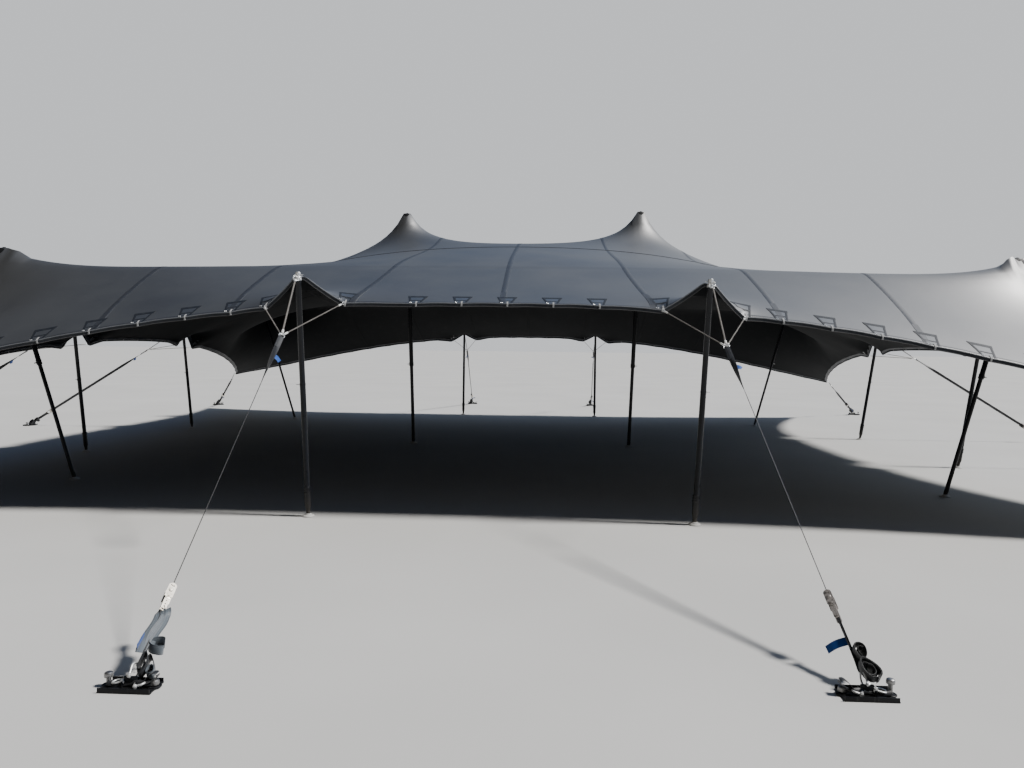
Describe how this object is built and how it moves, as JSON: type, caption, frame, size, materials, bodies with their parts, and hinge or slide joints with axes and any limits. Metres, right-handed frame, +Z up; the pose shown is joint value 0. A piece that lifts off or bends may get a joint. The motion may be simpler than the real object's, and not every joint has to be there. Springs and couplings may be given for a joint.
{
  "type": "stretch tent",
  "caption": "Open stretch tent: sewn elastic canopy over two tall centre poles and leaning wing and edge poles, held by webbing guys with ratchets and staked ground plates.",
  "frame": {"origin": "on the ground under the middle of the plan", "axes": "+Z up, -Y towards the front between the front poles, +X to the right seen from the front"},
  "size_m": [21.55, 20.95, 4.3057],
  "materials": {
    "canopy_cloth": "matt coated stretch cloth",
    "hem_webbing": "woven band",
    "pole_black": "satin powder coat",
    "bare_steel": "zinc plated",
    "guy_webbing": "woven polyester",
    "guy_rope": "braided",
    "plate_steel": "black paint",
    "rubber_black": "matt",
    "plastic_white": "moulded",
    "tag_blue": "woven label tape"
  },
  "bodies": {
    "root": {"canopy_centre_left": "canopy_cloth", "canopy_centre_middle": "canopy_cloth", "canopy_centre_right": "canopy_cloth", "canopy_front_left": "canopy_cloth", "canopy_front_middle": "canopy_cloth", "canopy_front_right": "canopy_cloth", "canopy_rear_left": "canopy_cloth", "canopy_rear_middle": "canopy_cloth", "canopy_rear_right": "canopy_cloth", "centre_pole_left": "pole_black", "centre_pole_right": "pole_black", "front_anchor_left": "plate_steel", "front_anchor_right": "plate_steel", "front_corner_anchor_left": "plate_steel", "front_corner_anchor_right": "plate_steel", "front_corner_guy_left": "guy_webbing", "front_corner_guy_right": "guy_webbing", "front_guy_left": "guy_webbing", "front_guy_right": "guy_webbing", "front_pole_left": "pole_black", "front_pole_right": "pole_black", "front_side_anchor_left": "plate_steel", "front_side_anchor_right": "plate_steel", "front_side_guy_left": "guy_webbing", "front_side_guy_right": "guy_webbing", "front_side_pole_left": "pole_black", "front_side_pole_right": "pole_black", "front_wing_pole_left": "pole_black", "front_wing_pole_right": "pole_black", "rear_anchor_left": "plate_steel", "rear_anchor_right": "plate_steel", "rear_corner_anchor_left": "plate_steel", "rear_corner_anchor_right": "plate_steel", "rear_corner_guy_left": "guy_webbing", "rear_corner_guy_right": "guy_webbing", "rear_guy_left": "guy_webbing", "rear_guy_right": "guy_webbing", "rear_pole_left": "pole_black", "rear_pole_right": "pole_black", "rear_side_anchor_left": "plate_steel", "rear_side_anchor_right": "plate_steel", "rear_side_guy_left": "guy_webbing", "rear_side_guy_right": "guy_webbing", "rear_side_pole_left": "pole_black", "rear_side_pole_right": "pole_black", "rear_wing_pole_left": "pole_black", "rear_wing_pole_right": "pole_black"}
  },
  "joints": []
}
